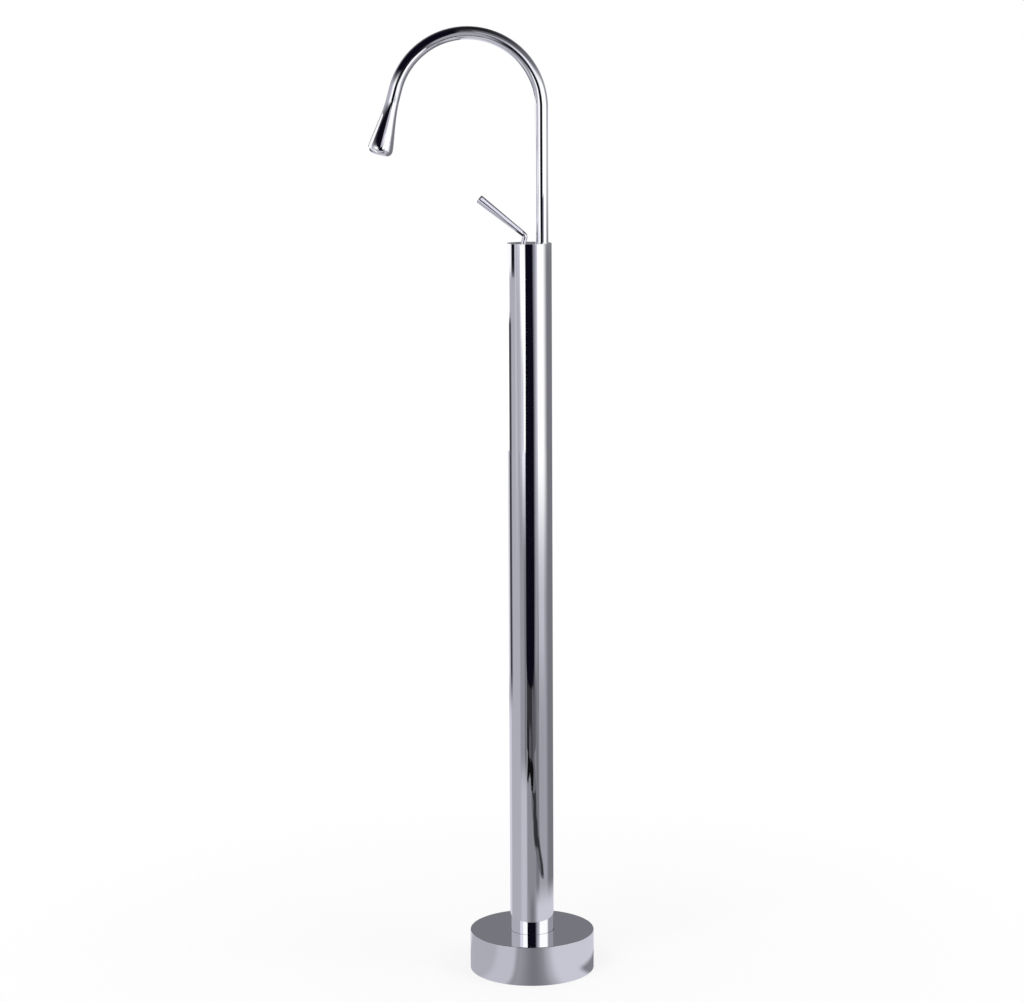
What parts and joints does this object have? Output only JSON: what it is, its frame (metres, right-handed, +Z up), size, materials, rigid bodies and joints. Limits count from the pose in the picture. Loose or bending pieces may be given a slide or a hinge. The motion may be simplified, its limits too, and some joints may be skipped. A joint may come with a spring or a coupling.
{
  "type": "floor-standing basin mixer",
  "caption": "Tall floor-standing basin mixer: round column on a disc base, swan-neck swivel spout with a drop-shaped outlet and a slim joystick lever on top.",
  "frame": {"origin": "on the floor at the column's axis, which is the centre of the floor flange's anchor holes", "axes": "+Z up along the column; the spout and the lever point to -X; the XZ plane halves the outside"},
  "size_m": [0.2742, 0.157, 1.183],
  "materials": {
    "chrome": "polished chrome plate",
    "brass": "turned brass",
    "stainless": "turned stainless steel",
    "rubber": "moulded rubber",
    "ceramic": "lapped alumina",
    "nylon": "moulded nylon",
    "acetal": "moulded acetal",
    "steel_braid": "woven stainless wire"
  },
  "bodies": {
    "column": {"floor_gasket": "rubber", "floor_flange": "stainless", "column_tube": "chrome", "foot_screws": "stainless", "column_support_plate": "stainless", "mixer_body": "brass", "body_screws": "stainless", "channel_plug": "brass", "hose_tails": "brass", "tail_o_rings": "rubber", "hot_hose": "steel_braid", "cold_hose": "steel_braid", "hose_ferrules": "stainless", "supply_tails": "brass", "supply_nuts": "brass", "supply_washers": "rubber", "cartridge_base": "nylon", "cartridge_seals": "rubber", "fixed_disc": "ceramic", "cartridge_housing": "nylon", "cartridge_nut": "brass", "top_cap": "chrome", "cap_o_ring": "rubber", "spout_retaining_plate": "brass", "retaining_screws": "stainless", "swivel_stop_pin": "stainless"},
    "rotor": {"cartridge_rotor": "acetal", "tilt_pin": "stainless"},
    "lever": {"cartridge_spindle": "chrome", "lever_handle": "chrome", "lever_grub_screw": "stainless"},
    "disc": {"disc_carrier": "acetal", "moving_disc": "ceramic"},
    "spout": {"spout_fitting": "brass", "spout_o_rings": "rubber", "spout_tube": "chrome", "spout_drop": "chrome", "aerator_gasket": "rubber", "aerator_core": "nylon", "aerator_housing": "chrome"},
    "base_cover": {"base_cover": "chrome", "cover_seal_ring": "rubber"}
  },
  "joints": [
    {"name": "lever_turn", "type": "hinge", "parent": "column", "child": "rotor", "pos_m": [-0.009, 0, 0.9128], "axis": [0, 0, 1], "range_deg": [-45, 45]},
    {"name": "lever_tilt", "type": "hinge", "parent": "rotor", "child": "lever", "pos_m": [-0.009, 0, 0.9128], "axis": [0, -1, 0], "range_deg": [0, 25]},
    {"name": "disc_slide", "type": "slide", "parent": "rotor", "child": "disc", "axis": [1, 0, 0], "range_m": [0, 0.0062]},
    {"name": "spout_swivel", "type": "hinge", "parent": "column", "child": "spout", "pos_m": [0.0155, 0, 0.9], "axis": [0, 0, 1], "range_deg": [-60, 60]},
    {"name": "cover_lift", "type": "slide", "parent": "column", "child": "base_cover", "axis": [0, 0, 1], "range_m": [0, 0.15]}
  ],
  "couplings": [
    {"joint": "disc_slide", "follows": "lever_tilt", "m_per_rad": 0.013884}
  ]
}
